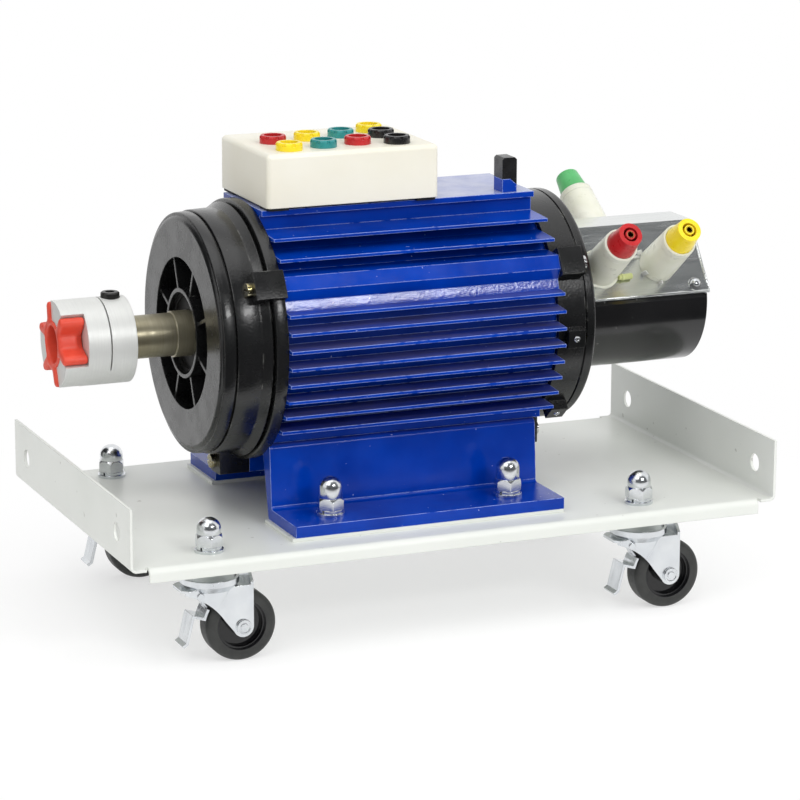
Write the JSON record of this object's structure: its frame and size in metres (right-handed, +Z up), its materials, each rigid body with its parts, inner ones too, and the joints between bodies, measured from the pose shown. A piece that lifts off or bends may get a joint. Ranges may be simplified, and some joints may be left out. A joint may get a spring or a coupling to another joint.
{
  "type": "slip-ring induction motor",
  "caption": "Finned slip-ring induction motor for teaching, with a terminal box, rotor terminals and a jaw coupling, on a sheet-metal base with braked swivel casters.",
  "frame": {"origin": "on the floor under the middle of the whole object", "axes": "+X along the shaft from the coupling to the slip rings, +Z up, -Y the side with two rotor terminals"},
  "size_m": [0.491, 0.26, 0.3365],
  "materials": {
    "base_paint": "satin",
    "blue_paint": "gloss",
    "black_paint": "satin",
    "grey_paint": "satin",
    "zinc_steel": "satin",
    "bright_steel": "polished",
    "machined_steel": "satin",
    "core_steel": "matte",
    "copper": "satin",
    "aluminium": "satin",
    "red_rubber": "satin",
    "black_steel": "satin",
    "black_rubber": "matte",
    "tyre": "matte",
    "cream_plastic": "satin",
    "white_plastic": "gloss",
    "red_plastic": "gloss",
    "yellow_plastic": "gloss",
    "teal_plastic": "gloss",
    "green_plastic": "gloss",
    "black_plastic": "gloss",
    "brown_laminate": "matte",
    "carbon": "matte"
  },
  "bodies": {
    "base": {"base_plate": "base_paint", "foot_spacers": "zinc_steel", "front_foot": "blue_paint", "rear_foot": "blue_paint", "foot_bolts": "zinc_steel", "flat_washers": "zinc_steel", "lock_washers": "zinc_steel", "cap_nuts": "bright_steel", "caster_heads": "zinc_steel", "motor_frame": "blue_paint", "plug_boss": "blue_paint", "frame_plug": "black_plastic", "stator_core": "core_steel", "stator_winding": "copper", "drive_end_shield": "black_paint", "rear_end_shield": "black_paint", "machine_screws": "zinc_steel", "bearing_outer_rings": "machined_steel", "shaft_seal": "black_rubber", "slip_ring_cover": "black_paint", "terminal_hood": "grey_paint", "terminal_bodies": "white_plastic", "red_terminal_tip": "red_plastic", "yellow_terminal_tip": "yellow_plastic", "green_terminal_tip": "green_plastic", "brush_holder": "brown_laminate", "brush_spring_1": "zinc_steel", "brush_spring_2": "zinc_steel", "brush_spring_3": "zinc_steel", "terminal_box": "cream_plastic", "box_pads": "black_rubber", "red_sockets": "red_plastic", "yellow_sockets": "yellow_plastic", "teal_sockets": "teal_plastic", "black_sockets": "black_plastic"},
    "rotor": {"shaft": "machined_steel", "rotor_core": "core_steel", "rotor_winding": "copper", "slip_ring_sleeve": "brown_laminate", "slip_rings": "copper", "bearing_inner_rings": "machined_steel", "coupling_hub": "aluminium", "coupling_spider": "red_rubber", "clamp_screw": "black_steel"},
    "ball_cages": {"bearing_balls": "machined_steel"},
    "brush_1": {"brush_1": "carbon"},
    "brush_2": {"brush_2": "carbon"},
    "brush_3": {"brush_3": "carbon"},
    "caster_front_left": {"fork_front_left": "zinc_steel"},
    "wheel_front_left": {"wheel_front_left": "tyre"},
    "brake_front_left": {"pedal_front_left": "zinc_steel"},
    "caster_front_right": {"fork_front_right": "zinc_steel"},
    "wheel_front_right": {"wheel_front_right": "tyre"},
    "brake_front_right": {"pedal_front_right": "zinc_steel"},
    "caster_rear_left": {"fork_rear_left": "zinc_steel"},
    "wheel_rear_left": {"wheel_rear_left": "tyre"},
    "brake_rear_left": {"pedal_rear_left": "zinc_steel"},
    "caster_rear_right": {"fork_rear_right": "zinc_steel"},
    "wheel_rear_right": {"wheel_rear_right": "tyre"},
    "brake_rear_right": {"pedal_rear_right": "zinc_steel"}
  },
  "joints": [
    {"name": "rotor_spin", "type": "hinge", "parent": "base", "child": "rotor", "pos_m": [0.0055, 0, 0.203], "axis": [1, 0, 0], "continuous": true},
    {"name": "cage_spin", "type": "hinge", "parent": "base", "child": "ball_cages", "pos_m": [0.0055, 0, 0.203], "axis": [1, 0, 0], "continuous": true},
    {"name": "brush_1_slide", "type": "slide", "parent": "base", "child": "brush_1", "axis": [0, 0, 1], "range_m": [0, 0.003], "stiffness_N_per_m": 400, "springref_m": -0.006, "deforming": ["brush_spring_1"]},
    {"name": "brush_2_slide", "type": "slide", "parent": "base", "child": "brush_2", "axis": [0, 0, 1], "range_m": [0, 0.003], "stiffness_N_per_m": 400, "springref_m": -0.006, "deforming": ["brush_spring_2"]},
    {"name": "brush_3_slide", "type": "slide", "parent": "base", "child": "brush_3", "axis": [0, 0, 1], "range_m": [0, 0.003], "stiffness_N_per_m": 400, "springref_m": -0.006, "deforming": ["brush_spring_3"]},
    {"name": "swivel_front_left", "type": "hinge", "parent": "base", "child": "caster_front_left", "pos_m": [-0.1705, -0.104, 0.054], "axis": [0, 0, 1], "continuous": true},
    {"name": "roll_front_left", "type": "hinge", "parent": "caster_front_left", "child": "wheel_front_left", "pos_m": [-0.1505, -0.104, 0.025], "axis": [0, 1, 0], "continuous": true},
    {"name": "brake_front_left", "type": "hinge", "parent": "caster_front_left", "child": "brake_front_left", "pos_m": [-0.181, -0.104, 0.0493], "axis": [0, -1, 0], "range_deg": [0, 4]},
    {"name": "swivel_front_right", "type": "hinge", "parent": "base", "child": "caster_front_right", "pos_m": [0.1505, -0.104, 0.054], "axis": [0, 0, 1], "continuous": true},
    {"name": "roll_front_right", "type": "hinge", "parent": "caster_front_right", "child": "wheel_front_right", "pos_m": [0.1705, -0.104, 0.025], "axis": [0, 1, 0], "continuous": true},
    {"name": "brake_front_right", "type": "hinge", "parent": "caster_front_right", "child": "brake_front_right", "pos_m": [0.14, -0.104, 0.0493], "axis": [0, -1, 0], "range_deg": [0, 4]},
    {"name": "swivel_rear_left", "type": "hinge", "parent": "base", "child": "caster_rear_left", "pos_m": [-0.1705, 0.104, 0.054], "axis": [0, 0, 1], "continuous": true},
    {"name": "roll_rear_left", "type": "hinge", "parent": "caster_rear_left", "child": "wheel_rear_left", "pos_m": [-0.1505, 0.104, 0.025], "axis": [0, 1, 0], "continuous": true},
    {"name": "brake_rear_left", "type": "hinge", "parent": "caster_rear_left", "child": "brake_rear_left", "pos_m": [-0.181, 0.104, 0.0493], "axis": [0, -1, 0], "range_deg": [0, 4]},
    {"name": "swivel_rear_right", "type": "hinge", "parent": "base", "child": "caster_rear_right", "pos_m": [0.1505, 0.104, 0.054], "axis": [0, 0, 1], "continuous": true},
    {"name": "roll_rear_right", "type": "hinge", "parent": "caster_rear_right", "child": "wheel_rear_right", "pos_m": [0.1705, 0.104, 0.025], "axis": [0, 1, 0], "continuous": true},
    {"name": "brake_rear_right", "type": "hinge", "parent": "caster_rear_right", "child": "brake_rear_right", "pos_m": [0.14, 0.104, 0.0493], "axis": [0, -1, 0], "range_deg": [0, 4]}
  ],
  "couplings": [
    {"joint": "cage_spin", "follows": "rotor_spin", "ratio": 0.4066}
  ]
}
